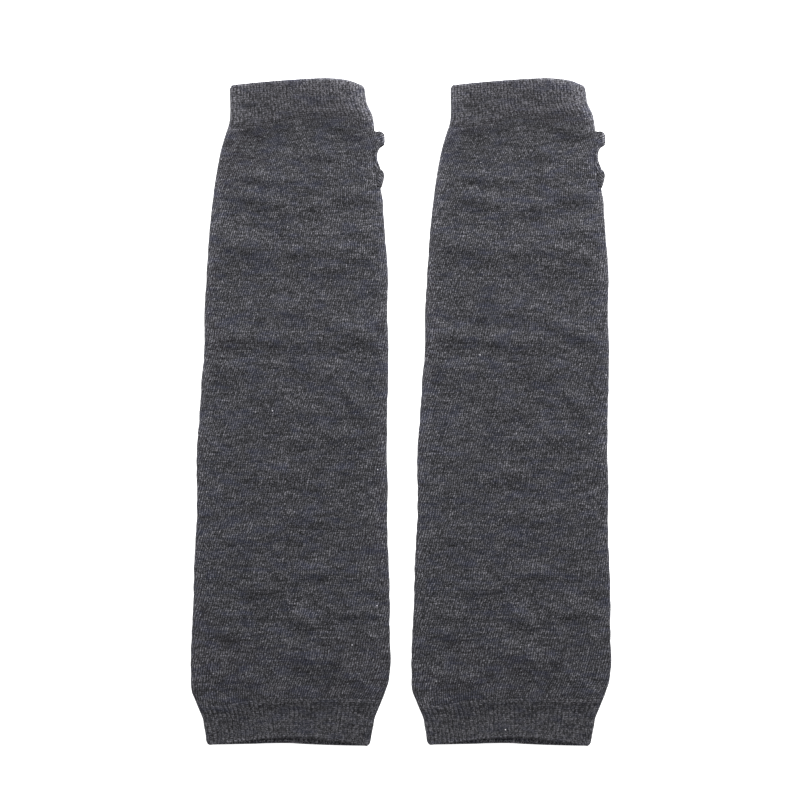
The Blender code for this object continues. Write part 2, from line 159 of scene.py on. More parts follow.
# creases of the front layer, from the hand rib down to the elbow rib
CREASES = rows_of(
    Crease,
    (3.5, 274.0, 8.0, 2.4, 93.0, 0.80), (12.8, 271.0, 7.0, 2.2, 92.0, 0.70),
    (-9.0, 272.0, 7.0, 2.8, 84.0, 0.50), (23.0, 278.8, 5.0, 3.2, -6.0, 0.90),
    (30.5, 274.8, 3.5, 2.2, -20.0, 0.60), (25.0, 270.4, 4.0, 2.2, 4.0, -0.60),
    (-1.5, 269.0, 3.0, 1.7, -10.0, -0.50), (-24.0, 270.0, 6.0, 3.0, 70.0, 0.40),
    (-17.0, 266.0, 9.0, 3.4, -8.0, 0.40), (16.0, 266.0, 8.0, 3.0, -4.0, 0.50),
    (-15.0, 255.5, 8.0, 3.0, -4.0, 0.70), (-2.0, 253.5, 7.0, 2.4, -2.0, 0.45),
    (17.0, 256.0, 8.0, 3.0, 0.0, 0.50), (29.0, 247.5, 11.0, 4.0, -5.0, 1.00),
    (-14.0, 245.5, 12.0, 4.0, -12.0, 0.90), (13.0, 242.5, 7.0, 3.2, 0.0, 0.70),
    (31.0, 232.0, 12.0, 4.5, -6.0, 0.90), (22.0, 222.5, 16.0, 5.5, -9.0, 1.25),
    (-21.0, 224.5, 13.0, 5.0, -16.0, 1.00), (2.5, 222.0, 4.0, 3.0, 0.0, 0.65),
    (19.0, 214.5, 9.0, 3.2, -4.0, 0.65), (-1.0, 196.0, 15.0, 6.0, 3.0, 0.70),
    (28.0, 187.0, 14.0, 4.0, -22.0, 0.95), (-4.0, 182.5, 32.0, 4.2, -1.0, 0.80),
    (-25.0, 185.5, 9.0, 3.6, 12.0, 0.55), (-26.0, 169.5, 13.0, 4.0, 2.0, 0.65),
    (18.0, 169.0, 8.0, 4.0, -3.0, 0.70), (28.5, 155.5, 12.0, 4.0, -43.0, 0.75),
    (3.0, 150.5, 9.0, 3.5, -8.0, 0.50), (21.0, 139.5, 10.0, 4.2, -12.0, 0.70),
    (4.0, 137.0, 7.0, 3.0, 2.0, 0.55), (1.0, 124.0, 7.0, 3.6, 0.0, 0.65),
    (-6.0, 120.0, 10.0, 3.4, 4.0, 0.50), (-33.0, 114.0, 8.0, 4.0, 60.0, 0.45),
    (14.0, 101.0, 14.0, 4.5, -8.0, 0.40), (-22.0, 94.0, 12.0, 4.5, 9.0, 0.40),
    (11.0, 78.5, 8.0, 3.0, 3.0, 0.70), (-15.0, 71.0, 9.0, 4.0, 12.0, 0.80),
    (-28.0, 59.5, 8.0, 3.6, 0.0, 0.50), (6.0, 56.5, 5.5, 3.2, -22.0, 0.90),
    (28.0, 60.5, 10.0, 3.6, -5.0, 0.80), (-26.0, 50.5, 7.0, 3.2, -20.0, 0.50),
    (0.0, 43.0, 9.0, 4.0, 3.0, 0.50), (10.0, 38.5, 9.0, 5.0, -8.0, 0.70),
    (22.0, 41.5, 5.0, 4.0, 0.0, 0.55), (36.0, 49.0, 6.0, 2.8, -60.0, 0.40),
    (-20.0, 30.0, 13.0, 4.2, -5.0, 0.50), (26.0, 31.0, 9.0, 5.0, 6.0, 0.55),
)

# the band's front half, from the middle of its upper lip to the middle of its lower lip
BAND_ROWS = rows_of(
    BandRow,
    (40.50, 270.4, 40.50, 274.4, 90.0), (40.50, 269.9, 40.50, 275.4, 60.0),
    (40.50, 269.5, 40.40, 276.1, 30.0), (40.40, 269.1, 39.80, 276.4, 0.0),
    (39.95, 268.6, 38.80, 276.0, 0.0), (39.45, 267.7, 38.70, 271.6, 0.0),
    (39.10, 266.5, 37.95, 268.2, 0.0), (39.00, 265.2, 37.55, 265.5, 0.0),
    (39.10, 263.7, 37.50, 262.8, 0.0), (39.50, 262.3, 37.75, 260.7, 0.0),
    (40.00, 261.1, 38.30, 258.4, 0.0), (40.40, 260.1, 38.80, 255.8, 0.0),
    (40.50, 259.4, 39.05, 251.9, 0.0), (40.60, 258.9, 39.15, 251.5, 30.0),
    (40.60, 258.0, 39.15, 251.3, 60.0), (40.60, 257.0, 39.10, 251.3, 90.0),
)
BAND_TUBE_EDGE = tuple((row.tube_height, row.tube_x) for row in reversed(BAND_ROWS[4:13]))
REAR_STAGGER = 0.6        # the rear join lies further in than the front one, so no light shows through
HOLE_BOTTOM = 251.26
HOLE_TOP = 276.6
LEFT_FOLD_WAVES = Waves(17.0, 4.5, 3)
RIGHT_FOLD_WAVES = Waves(17.0, 4.5, 4)
CLOTH_WAVES = Waves(14.0, 3.0, 7)


def smooth_curve(where: Array, points: Sequence[tuple[float, float]]) -> Array:
    """Smooth curve through points, held level past both ends.

    Between two points the value is the cubic that passes through both, with slopes there equal to the
    slope of the chord between the neighbours on either side.

    Args:
        where: places at which the curve is read.
        points: rows of (place, value), with rising places.

    Returns:
        The curve's value at each place.
    """
    places, values = np.array(points, dtype=float).T
    where = np.clip(where, places[0], places[-1])
    start = np.clip(np.searchsorted(places, where, side="right") - 1, 0, len(places) - 2)
    before = np.maximum(start - 1, 0)
    end = start + 1
    after = np.minimum(start + 2, len(places) - 1)
    span = places[end] - places[start]
    t = (where - places[start]) / span
    slope_in = (values[end] - values[before]) / (places[end] - places[before]) * span
    slope_out = (values[after] - values[start]) / (places[after] - places[start]) * span
    return (
        (2 * t**3 - 3 * t**2 + 1) * values[start]
        + (t**3 - 2 * t**2 + t) * slope_in
        + (3 * t**2 - 2 * t**3) * values[end]
        + (t**3 - t**2) * slope_out
    )


def fade_in(distance: Array, reach: float) -> Array:
    """0 at no distance, rising smoothly to 1 at the reach, as 3t squared minus 2t cubed."""
    t = np.clip(distance / reach, 0.0, 1.0)
    return t * t * (3 - 2 * t)


def bell(distance: Array, width: float) -> Array:
    """Bell curve: e to the power of minus the square of distance over width."""
    return np.exp(-((distance / width) ** 2))


def uneven(x: Array | float, y: Array, waves: Waves, number_of_waves: int = 28) -> Array:
    """Soft unevenness of cloth: the mean of many plane waves with seeded directions and phases.

    Args:
        x: places across, in millimetres.
        y: places along, in millimetres.
        waves: their range of lengths, and their seed.
        number_of_waves: how many there are.

    Returns:
        Values spread around 0, mostly between -1 and 1.
    """
    rng = np.random.default_rng(waves.seed)
    total = np.zeros(np.broadcast(x, y).shape)
    for _ in range(number_of_waves):
        direction = rng.uniform(0, math.tau)
        number = math.tau / math.exp(rng.uniform(math.log(waves.shortest), math.log(waves.longest)))
        phase = rng.uniform(0, math.tau)
        total += np.sin(number * (x * math.cos(direction) + y * math.sin(direction)) + phase)
    return total / math.sqrt(number_of_waves)


@dataclass(frozen=True)
class RingPlace:
    """Where points lie round the flattened tube, as arrays of one shape."""

    across: Array
    turn: Array
    share: Array

    @property
    def frontness(self) -> Array:
        """1 on the front layer, 0 on the rear layer, and between them round the side folds."""
        return (1 + np.cos(self.turn)) / 2


@dataclass(frozen=True)
class FlatTube:
    """The flattened tube that all the pieces of one arm warmer share.

    Lengths are in millimetres. Fades and bows that run across the tube are shares of its half width.
    """

    loft: float = 0.55
    loft_fade: float = 22.0
    edge_fade: float = 0.14
    seam_fade: float = 0.06
    deepest: float = 0.3
    elbow_mouth_lift: float = 0.9
    finger_mouth_lift: float = 0.5
    mouth_reach: float = 12.0
    unevenness: float = 0.07
    side_wave: float = 0.11
    fuller_left: float = 0.12
    fuller_right: float = 0.34
    fuller_fade: float = 6.0
    groove: float = 0.14
    groove_width: float = 1.2
    seam_ridge: float = 0.55
    ridge_width: float = 3.8
    fold_fluff_and_light: float = 1.45
    elbow_share_left: float = 0.5
    elbow_share_right: float = 0.1
    paler_from: float = 230.0
    fold_paleness_reach: float = 3.2
    corner_highlight: float = 4.0
    corner_reach: float = 20.0
    corner_depth: float = 4.4
    hand_shade: float = 0.74
    elbow_shade: float = 0.34
    hand_shade_below: float = 1.5
    elbow_shade_above: float = 1.0
    shade_width: float = 10.0

    def limits(self, height: Array) -> tuple[Array, Array]:
        """The two ends of the flat stretch between the side folds, slightly wavy.

        Args:
            height: heights at which they are read.

        Returns:
            x of the left end and of the right end.
        """
        left = smooth_curve(height, LEFT_FOLD) + FOLD_RADIUS - self.fuller_left
        right = smooth_curve(height, RIGHT_FOLD) - FOLD_RADIUS
        from_hole = np.maximum(HOLE_BOTTOM - height, height - HOLE_TOP)
        right = right + self.fuller_right * fade_in(from_hole, self.fuller_fade)
        away = fade_in(np.minimum(height, HOLE_BOTTOM - height), self.fuller_fade) * self.side_wave
        left = left + away * uneven(0.0, height, LEFT_FOLD_WAVES)
        right = right + away * uneven(0.0, height, RIGHT_FOLD_WAVES)
        return left, right

    def ring(self, share: Array, height: Array) -> RingPlace:
        """Places round a ring, evenly spaced by length of cloth.

        The ring starts at the left end of the front layer, runs over it to the right, down the right
        fold, back along the rear layer and up the left fold. Its length is twice the flat width and
        two half circles.

        Args:
            share: how far round the ring, from 0 to 1.
            height: height of the ring.

        Returns:
            The places, in the broadcast shape of both arrays.
        """
        left, right = self.limits(height)
        flat = right - left
        bend = math.pi * FOLD_RADIUS
        length = share * 2 * (flat + bend)
        across = np.clip(length / flat, 0, 1) - np.clip((length - flat - bend) / flat, 0, 1)
        turn = np.clip((length - flat) / FOLD_RADIUS, 0, math.pi)
        turn = turn + np.clip((length - 2 * flat - bend) / FOLD_RADIUS, 0, math.pi)
        return RingPlace(across, turn, share + 0 * flat)

    def seam_relief(self, across: Array, height: Array) -> Array:
        """Soft ridge along both seams, where the cloth is thickest, with a fine groove on its crest.

        Ridge and groove are bell curves of the distance from the seam.

        Args:
            across: places across the tube, from -1 to 1.
            height: places along it.

        Returns:
            How far the cloth stands up there.
        """
        relief = np.zeros(np.broadcast(across, height).shape)
        for seam in (HAND_SEAM, ELBOW_SEAM):
            away = smooth_curve(across, seam) - height
            relief += self.seam_ridge * bell(away, self.ridge_width)
            relief -= self.groove * bell(away, self.groove_width)
        return relief

    def front_lift(self, across: Array, x: Array, height: Array) -> Array:
        """Height of the front layer over the plain flattened tube.

        It is the sum of the mouths' lift, the slight loft between the seams, the seams' relief, the
        creases, each a bell curve about its own line, and the unevenness of the cloth. Where it would
        press the front layer into the rear one, it levels out as a hyperbolic tangent.

        Args:
            across: places across the tube, from -1 to 1.
            x: the same places in millimetres from the centre line.
            height: places along the tube.

        Returns:
            The lift at each place.
        """
        bow = 1 - across**2
        lift = bow * self.elbow_mouth_lift * (1 - fade_in(height, self.mouth_reach))
        lift = lift + bow * self.finger_mouth_lift * (1 - fade_in(LENGTH - height, self.mouth_reach))
        from_seams = np.minimum(height - ELBOW_SEAM[1].height, HAND_SEAM[0].height - height)
        lift = lift + self.loft * bow * fade_in(from_seams, self.loft_fade)
        inside = fade_in(1 - np.abs(across), self.edge_fade)
        from_seams = np.minimum(height - ELBOW_SEAM[1].height, HAND_SEAM[-1].height - height)
        folds = np.zeros(lift.shape)
        for crease in CREASES:
            turn = math.radians(crease.turn)
            along = (x - crease.x) * math.cos(turn) + (height - crease.height) * math.sin(turn)
            aside = (height - crease.height) * math.cos(turn) - (x - crease.x) * math.sin(turn)
            folds += crease.lift * bell(along, crease.half_length) * bell(aside, crease.half_width)
        lift = lift + folds * inside * fade_in(from_seams, self.mouth_reach / 2)
        lift = lift + self.seam_relief(across, height) * fade_in(1 - np.abs(across), self.seam_fade)
        lift = lift + self.unevenness * (1 + uneven(x, height, CLOTH_WAVES))
        return np.where(lift < 0, self.deepest * np.tanh(lift / self.deepest), lift)

    def fluff_and_painted_light(self, ring: RingPlace, height: Array, beyond: Array | float = 0.0) -> Array:
        """How pale the yarn is drawn, partly brushed fuzz and partly painted light: most at the side
        folds, falling off exponentially from them.

        The folds have less of it towards the elbow, the right one least. The right corner of the finger
        edge is the palest, a painted highlight, as a bell curve about the corner times an exponential of
        the distance from the nearest edge. Along the seams a painted shade lowers it, as a bell curve
        about each seam.

        Args:
            ring: where the points lie round the tube.
            height: where they lie along it.
            beyond: breadth of the thumb band outside the tube's own edge.

        Returns:
            The fluff and painted light at each point: 0 for plain yarn, less where shade is painted.
        """
        left, right = self.limits(height)
        flat = right - left
        from_left = ring.across * flat
        from_right = (1 - ring.across) * flat + beyond
        from_end = smooth_curve(2 * ring.across - 1, FINGER_EDGE) - height
        # painted highlight on the right corner of the finger edge
        corner = bell(np.hypot(from_right, from_end), self.corner_reach)
        corner = corner * np.exp(-np.clip(np.minimum(from_right, from_end), 0, None) / self.corner_depth)
        # painted shade along the hand seam and the elbow seam
        from_hand = height - smooth_curve(2 * ring.across - 1, HAND_SEAM)
        from_elbow = height - smooth_curve(2 * ring.across - 1, ELBOW_SEAM)
        painted_seam_shade = self.hand_shade * bell(from_hand + self.hand_shade_below, self.shade_width)
        by_elbow = bell(from_elbow - self.elbow_shade_above, self.shade_width / 2)
        painted_seam_shade = painted_seam_shade + self.elbow_shade * by_elbow
        # paler side folds: brushed fuzz and painted light wrapping round them, less towards the elbow
        up = np.clip(height / self.paler_from, 0, 1)
        left_fold = (self.elbow_share_left * (1 - up) + up) * np.exp(-from_left / self.fold_paleness_reach)
        right_fold = (self.elbow_share_right * (1 - up) + up) * np.exp(-from_right / self.fold_paleness_reach)
        return self.fold_fluff_and_light * (left_fold + right_fold) + self.corner_highlight * corner - painted_seam_shade

    def place(
        self,
        ring: RingPlace,
        height: Array,
        depth: Array | float = 0.0,
        rise: Array | float = 0.0,
        right_end: Array | None = None,
    ) -> Array:
        """Points of the flattened tube.

        A point is the foot of its fold's circle, moved out by the fold's radius less its depth in the
        wall, along the turn of the cloth, and on the front layer also up by the lift.

        Args:
            ring: where the points lie round the tube.
            height: where they lie along it.
            depth: how far under the outer surface they lie.
            rise: how far relief stands over the outer surface; on the rear layer it goes inward.
            right_end: end of the flat stretch, where the thumb hole cuts the right fold away.

        Returns:
            An array of points in millimetres, with x, y and z last.
        """
        left, right = self.limits(height)
        if right_end is not None:
            right = right_end
        flat_x = left + (right - left) * ring.across
        frontness = ring.frontness
        radius = FOLD_RADIUS - depth + rise
        lift = self.front_lift(2 * ring.across - 1, flat_x, height) * frontness
        x = flat_x + radius * np.sin(ring.turn)
        z = FOLD_RADIUS + radius * np.cos(ring.turn) + lift
        y = height - LENGTH / 2 + 0 * x
        return np.stack([x, y, z], axis=-1)


TUBE = FlatTube()


@dataclass(frozen=True)
class Surface:
    """Points, quads, a stitch coordinate for each quad corner and the yarn's fluff and painted light at
    each point.
    """

    points: Array
    quads: Array
    stitches: Array
    fluff_and_painted_light: Array

    def to_object(self, name: str, material: bpy.types.Material) -> bpy.types.Object:
        """A smooth mesh object whose faces point outwards and whose UV map counts stitches.

        Args:
            name: the piece's name.
            material: its finish.

        Returns:
            The object, linked to the scene.
        """
        quads, stitches = self.quads, self.stitches
        a, b, c, d = (self.points[quads[:, k]] for k in range(4))
        volume = np.einsum("ij,ij->", a, np.cross(b, c)) + np.einsum("ij,ij->", a, np.cross(c, d))
        if volume < 0:
            quads, stitches = quads[:, ::-1], stitches[:, ::-1]
        mesh = bpy.data.meshes.new(name)
        mesh.from_pydata((self.points * MM).tolist(), [], quads.tolist())
        layer = mesh.uv_layers.new(name="stitches")
        layer.data.foreach_set("uv", np.ascontiguousarray(stitches, dtype=np.float32).ravel())
        fluff_and_painted_light = mesh.attributes.new("fluff_and_painted_light", "FLOAT", "POINT")
        fluff_and_painted_light.data.foreach_set("value", np.ascontiguousarray(self.fluff_and_painted_light, dtype=np.float32))
        mesh.shade_smooth()
        mesh.set_sharp_from_angle(angle=SHARP_ANGLE)
        mesh.materials.append(material)
        item = bpy.data.objects.new(name, mesh)
        bpy.context.scene.collection.objects.link(item)
        return item


def round_cells(rows: Array, columns: Array, number: Callable[[Array, Array], Array]) -> Array:
    """Numbers of the four corners of each grid cell, counted round it, by a function of row and column."""
    corners = ((0, 0), (0, 1), (1, 1), (1, 0))
    return np.stack([number(rows + r, columns + c) for r, c in corners], axis=-1)


def closed_surface(points: Array, stitches: Array, fluff_and_painted_light: Array) -> Surface:
    """Surface that closes both ways, from a grid of points and a grid of stitch coordinates.

    Args:
        points: shape (rows, columns, 3); the last row joins the first, and so do the columns.
        stitches: shape (rows + 1, columns + 1, 2), so that the count runs on across both joins.
        fluff_and_painted_light: how pale the yarn is drawn at each point, from brushed fuzz, painted light
            and painted shade.

    Returns:
        The surface, with rows times columns quads.
    """
    row_count, column_count = points.shape[:2]
    rows, columns = (grid.ravel() for grid in np.mgrid[0:row_count, 0:column_count])
    quads = round_cells(rows, columns, lambda r, c: r % row_count * column_count + c % column_count)
    ids = round_cells(rows, columns, lambda r, c: r * (column_count + 1) + c)
    return Surface(points.reshape(-1, 3), quads, stitches.reshape(-1, 2)[ids], fluff_and_painted_light.ravel())


def walled_surface(
    outer: Array, inner: Array, stitches: Array, fluff_and_painted_light: Array, kept: Array
) -> Surface:
    """Wall between an outer and an inner grid that close round their columns, with a rim on each edge.

    Args:
        outer: outer points, shape (rows, columns, 3).
        inner: inner points, in the same order.
        stitches: shape (rows, columns + 1, 2).
        fluff_and_painted_light: how pale the yarn is drawn at each outer point, from brushed fuzz, painted
            light and painted shade.
        kept: shape (rows - 1, columns), False where a cell is cut away.

    Returns:
        The closed surface.
    """
    row_count, column_count = outer.shape[:2]
    inner_start = row_count * column_count

    def vertex(rows: Array, columns: Array) -> Array:
        """Number of an outer point; the columns close."""
        return rows * column_count + columns % column_count

    def stitch(rows: Array, columns: Array) -> Array:
        """Number of a stitch coordinate; its columns don't close."""
        return rows * (column_count + 1) + columns

    rows, columns = np.nonzero(kept)
    outside = round_cells(rows, columns, vertex)
    outside_ids = round_cells(rows, columns, stitch)
    quads = [outside, outside[:, ::-1] + inner_start]
    ids = [outside_ids, outside_ids[:, ::-1]]
    empty_row = np.zeros((1, column_count), dtype=bool)
    below = np.vstack([empty_row, kept])
    above = np.vstack([kept, empty_row])
    left_of = np.roll(kept, 1, axis=1)
    edges = (
        (np.nonzero(above & ~below), (0, 1), (0, 0)),
        (np.nonzero(below & ~above), (0, 0), (0, 1)),
        (np.nonzero(kept & ~left_of), (0, 0), (1, 0)),
        (np.nonzero(left_of & ~kept), (1, 0), (0, 0)),
    )
    for (rows, columns), start, end in edges:
        first = vertex(rows + start[0], columns + start[1])
        second = vertex(rows + end[0], columns + end[1])
        first_id = stitch(rows + start[0], columns + start[1])
        second_id = stitch(rows + end[0], columns + end[1])
        quads.append(np.stack([first, second, second + inner_start, first + inner_start], axis=-1))
        ids.append(np.stack([first_id, second_id, second_id, first_id], axis=-1))
    points = np.concatenate([outer.reshape(-1, 3), inner.reshape(-1, 3)])
    used, renumbered = np.unique(np.concatenate(quads), return_inverse=True)
    corner_stitches = stitches.reshape(-1, 2)[np.concatenate(ids)]
    both_fluffs = np.tile(fluff_and_painted_light.ravel(), 2)
    return Surface(points[used], renumbered.reshape(-1, 4), corner_stitches, both_fluffs[used])


class Mouth(Enum):
    """The two open ends of the tube."""

    FINGERS = "hand_rib"
    ELBOW = "elbow_rib"


@dataclass(frozen=True)
class ArmTube:
    """The plain-knit tube between the two ribbed edges, with the thumb hole in its right fold."""

    front_steps: int = 118
    fold_steps: int = 10
    rear_steps: int = 50
    ring_spacing: float = 1.2
    seam_bend: float = 42.0
    course_height: float = 0.86
    lean_degrees: float = 12.0
    hole_end_ring: float = 0.3
    band_gap: float = 0.08
    band_breadth: float = 1.5

    def heights(self) -> Array:
        """Nominal heights of the rings.

        Returns:
            Even steps, with a ring at each end of the thumb hole and one close inside it.
        """
        stops = (ELBOW_SEAM[-1].height, HOLE_BOTTOM, HOLE_TOP, HAND_SEAM[-1].height)
        stretches = []
        for start, end in zip(stops[:-1], stops[1:]):
            count = round((end - start) / self.ring_spacing)
            stretches.append(np.linspace(start, end, count, endpoint=False))
        hole = stretches[1]
        first, last = HOLE_BOTTOM + self.hole_end_ring, HOLE_TOP - self.hole_end_ring
        stretches[1] = np.concatenate([hole[:1], [first], hole[1:], [last]])
        return np.concatenate([*stretches, [stops[-1]]])

    def true_height(self, across: Array, ring_height: Array) -> Array:
        """Height of a ring's points: it follows the slope of a seam near it and is straight elsewhere.

        Args:
            across: places across the tube, from -1 to 1.
            ring_height: nominal height of each ring.

        Returns:
            Their heights.
        """
        hand_end = HAND_SEAM[-1].height
        elbow_end = ELBOW_SEAM[-1].height
        by_hand = 1 - fade_in(hand_end - ring_height, self.seam_bend)
        by_elbow = 1 - fade_in(ring_height - elbow_end, self.seam_bend)
        hand_slope = smooth_curve(across, HAND_SEAM) - hand_end
        elbow_slope = smooth_curve(across, ELBOW_SEAM) - elbow_end
        return ring_height + by_hand * hand_slope + by_elbow * elbow_slope

    def columns(self) -> tuple[Array, Array]:
        """Even steps over each layer and round each fold.

        Returns:
            Across and turn of each column.
        """
        front = np.linspace(0, 1, self.front_steps, endpoint=False)
        bend = np.linspace(0, math.pi, self.fold_steps, endpoint=False)
        rear = np.linspace(1, 0, self.rear_steps, endpoint=False)
        across = np.concatenate([front, np.ones_like(bend), rear, np.zeros_like(bend)])
        turn = np.concatenate([np.zeros_like(front), bend, np.full_like(rear, math.pi), math.pi + bend])
        return across, turn

    def stitch_counts(self, ring_height: Array) -> Array:
        """Wale and course numbers of the grid.

        A wale keeps its number while it leans to the right going up, so the number at a place is its
        share of the way round the tube less the lean, times the number of needles.

        Args:
            ring_height: nominal height of each ring.

        Returns:
            Both numbers, with one more column than the grid has.
        """
        across, turn = self.columns()
        across = np.append(across, 0.0)
        turn = np.append(turn, math.tau)
        left, right = TUBE.limits(ring_height)
        flat = right - left
        bend = math.pi * FOLD_RADIUS
        on_front = np.where(turn > 0, 1.0, across)
        on_rear = np.where(turn == math.pi, 1 - across, turn > math.pi)
        past_right = np.clip(turn, 0, math.pi) / math.pi
        past_left = np.clip(turn - math.pi, 0, math.pi) / math.pi
        length = flat * (on_front + on_rear) + bend * (past_right + past_left)
        share = length / (2 * (flat + bend))
        lean = math.tan(math.radians(self.lean_degrees)) / (2 * (flat.mean() + bend))
        wale = NEEDLES * (share - lean * ring_height)
        course = ring_height / self.course_height + 0 * wale
        return np.stack([wale, course], axis=-1)

    def surface(self) -> Surface:
        """The wall of the tube, open at both ends and at the thumb hole, where it ends beside the band.

        Returns:
            The closed wall.
        """
        across, turn = self.columns()
        ring_height = self.heights()[:, None]
        height = self.true_height(2 * across - 1, ring_height)
        ring = RingPlace(across + 0 * height, turn + 0 * height, 0 * height)
        in_hole = (ring_height > HOLE_BOTTOM) & (ring_height < HOLE_TOP)
        right = TUBE.limits(height)[1]
        stagger = REAR_STAGGER * (turn > math.pi / 2)
        beside_band = smooth_curve(ring_height, BAND_TUBE_EDGE) - self.band_gap - stagger
        right_end = np.where(in_hole, beside_band, right)
        outer = TUBE.place(ring, height, 0.0, 0.0, right_end)
        inner = TUBE.place(ring, height, WALL, 0.0, right_end)
        kept = np.ones((len(ring_height) - 1, len(across)), dtype=bool)
        cut_rows = (ring_height[:-1, 0] >= HOLE_BOTTOM) & (ring_height[:-1, 0] < HOLE_TOP)
        cut_columns = slice(self.front_steps, self.front_steps + self.fold_steps)
        kept[cut_rows, cut_columns] = False
        fluff_and_painted_light = TUBE.fluff_and_painted_light(ring, height, np.where(in_hole, self.band_breadth, 0.0))
        return walled_surface(outer, inner, self.stitch_counts(ring_height), fluff_and_painted_light, kept)


@dataclass(frozen=True)
class RibEdge:
    """A one-by-one ribbed edge: raised knit columns with sunk ones between them, and a rounded end.

    Lengths are in millimetres. The painted rim highlight is placed by a share of the way across the front.
    """

    mouth: Mouth
    steps_per_rib: int = 8
    rows: int = 30
    lining_rows: int = 8
    end_steps: int = 6
    rise: float = 0.19
    rear_rise: float = 0.20
    roundness: float = 0.55
    seam_fade: float = 1.6
    corner_radius: float = 1.4
    course_height: float = 0.9
    rim_fluff_and_highlight: float = 1.2
    edge_reach: float = 0.7
    most_fluff_and_light: float = 3.6
    finger_light: float = 0.3
    mouth_shade: float = 0.5
    shade_reach: float = 10.0
    lining_light: float = 5.5
    height_of_mouth: float = 6.0
    rim_highlight: float = 2.6
    line_middle: float = 0.1
    line_length: float = 0.16
    line_width: float = 0.5

    def profile(self) -> tuple[Array, Array, Array]:
        """Stations round the wall: out from the seam, round a half circle at the edge, and back.

        Returns:
            Share of the way from seam to edge, depth in the wall, and reach past the edge.
        """
        radius = WALL / 2
        out = np.linspace(0, 1, self.rows, endpoint=False)
        bend = np.linspace(0, math.pi, self.end_steps, endpoint=False)
        back = np.linspace(1, 0, self.lining_rows)
        share = np.concatenate([out, np.ones_like(bend), back])
        depth = np.concatenate([np.zeros_like(out), radius * (1 - np.cos(bend)), np.full_like(back, WALL)])
        over = np.concatenate([np.zeros_like(out), radius * np.sin(bend), np.zeros_like(back)])
        return share[:, None], depth[:, None], over[:, None]

    def edge_lines(self, ring: RingPlace) -> tuple[Array, Array]:
        """Heights of the seam and of the free edge.

        Round a side fold the edge draws back by a corner's radius times one minus the cosine of the
        turn, which rounds the corners off.

        Args:
            ring: places round the tube.

        Returns:
            The seam's height and the edge's at each place.
        """
        across = 2 * ring.across - 1
        corner = self.corner_radius * (1 - np.abs(np.cos(ring.turn)))
        if self.mouth is Mouth.FINGERS:
            return smooth_curve(across, HAND_SEAM), smooth_curve(across, FINGER_EDGE) - corner
        front = smooth_curve(across, ELBOW_EDGE_FRONT)
        rear = smooth_curve(across, ELBOW_EDGE_REAR)
        return smooth_curve(across, ELBOW_SEAM), rear + (front - rear) * ring.frontness + corner

    def relief(self, ring: RingPlace, share: Array, depth: Array, reach: Array) -> Array:
        """Ribs: the root of a sine's size, so that crests are broad and valleys narrow.

        They fade out at the seam and inside the wall. On the rear layer the crests lie at the flat
        underside and the valleys go up from it.

        Args:
            ring: where the points lie round the tube.
            share: how far they lie on the way from seam to edge.
            depth: how far under the outer surface they lie.
            reach: length of that way.

        Returns:
            How far the surface stands out at each point.
        """
        column = np.abs(np.sin(math.pi * NEEDLES / 2 * ring.share)) ** self.roundness
        column = column - (1 - ring.frontness)
        strength = self.rear_rise + (self.rise - self.rear_rise) * ring.frontness
        from_seam = fade_in(share * reach, self.seam_fade)
        return strength * column * from_seam * np.clip(1 - depth / WALL, 0, 1)

    def surface(self) -> Surface:
        """The profile carried round the tube, with the relief of the ribs.

        Returns:
            The closed wall.
        """
        share, depth, over = self.profile()
        count = NEEDLES // 2 * self.steps_per_rib
        around = np.linspace(0, 1, count, endpoint=False)[None, :]
        middle = ELBOW_SEAM[1].height / 2
        if self.mouth is Mouth.FINGERS:
            middle = (HAND_SEAM[1].height + LENGTH) / 2
        guess = TUBE.ring(around, np.full((len(share), 1), middle))
        seam, edge = self.edge_lines(guess)
        direction = np.sign(edge - seam)
        reach = np.abs(edge - seam) - WALL / 2
        height = seam + direction * (share * reach + over)
        ring = TUBE.ring(around, height)
        rise = self.relief(ring, share, depth, reach)
        points = TUBE.place(ring, height, depth, rise)
        rib = np.linspace(0, NEEDLES // 2, count + 1)[None, :] + 0 * share
        course = (share * reach.mean() + over) / self.course_height + 0 * rib
        stitches = np.stack([rib, course], axis=-1)
        stitches = np.concatenate([stitches, stitches[:1]])
        return closed_surface(points, stitches, self.fluff_and_painted_light(ring, height, share * reach - reach, depth))

    def fluff_and_painted_light(self, ring: RingPlace, height: Array, from_edge: Array, depth: Array) -> Array:
        """The tube's fluff and painted light, more of it on the rim as brushed yarn and a painted
        highlight, kept under its most by a hyperbolic tangent.

        Painted light makes the finger edge a little paler all over. Painted shade darkens the elbow edge
        near the mouth, apart from a painted highlight on the left end of its front rim and painted light
        for the light that comes through the single rear layer.

        Args:
            ring: where the points lie round the tube.
            height: where they lie along it.
            from_edge: how far they lie from the free edge.
            depth: how far under the outer surface they lie.

        Returns:
            The fluff and painted light at each point.
        """
        # paler rim: brushed yarn and a painted highlight where the rim catches light
        fluff_and_painted_light = TUBE.fluff_and_painted_light(ring, height) + self.rim_fluff_and_highlight * bell(from_edge, self.edge_reach)
        fluff_and_painted_light = self.most_fluff_and_light * np.tanh(fluff_and_painted_light / self.most_fluff_and_light)
        if self.mouth is Mouth.FINGERS:
            # painted light near the finger edge
            return fluff_and_painted_light + self.finger_light * bell(from_edge, self.height_of_mouth)
        # painted shade near the elbow mouth
        fluff_and_painted_light = fluff_and_painted_light - self.mouth_shade * bell(from_edge, self.shade_reach)
        # painted highlight on the left end of the front rim
        on_left = bell(ring.across - self.line_middle, self.line_length) * ring.frontness
        fluff_and_painted_light = fluff_and_painted_light + self.rim_highlight * on_left * bell(from_edge, self.line_width)
        # painted light on the rear lining near the mouth, for light through the single layer
        lining = np.clip(depth / WALL, 0, 1) * (1 - ring.frontness)
        return fluff_and_painted_light + self.lining_light * lining * bell(from_edge, self.height_of_mouth)


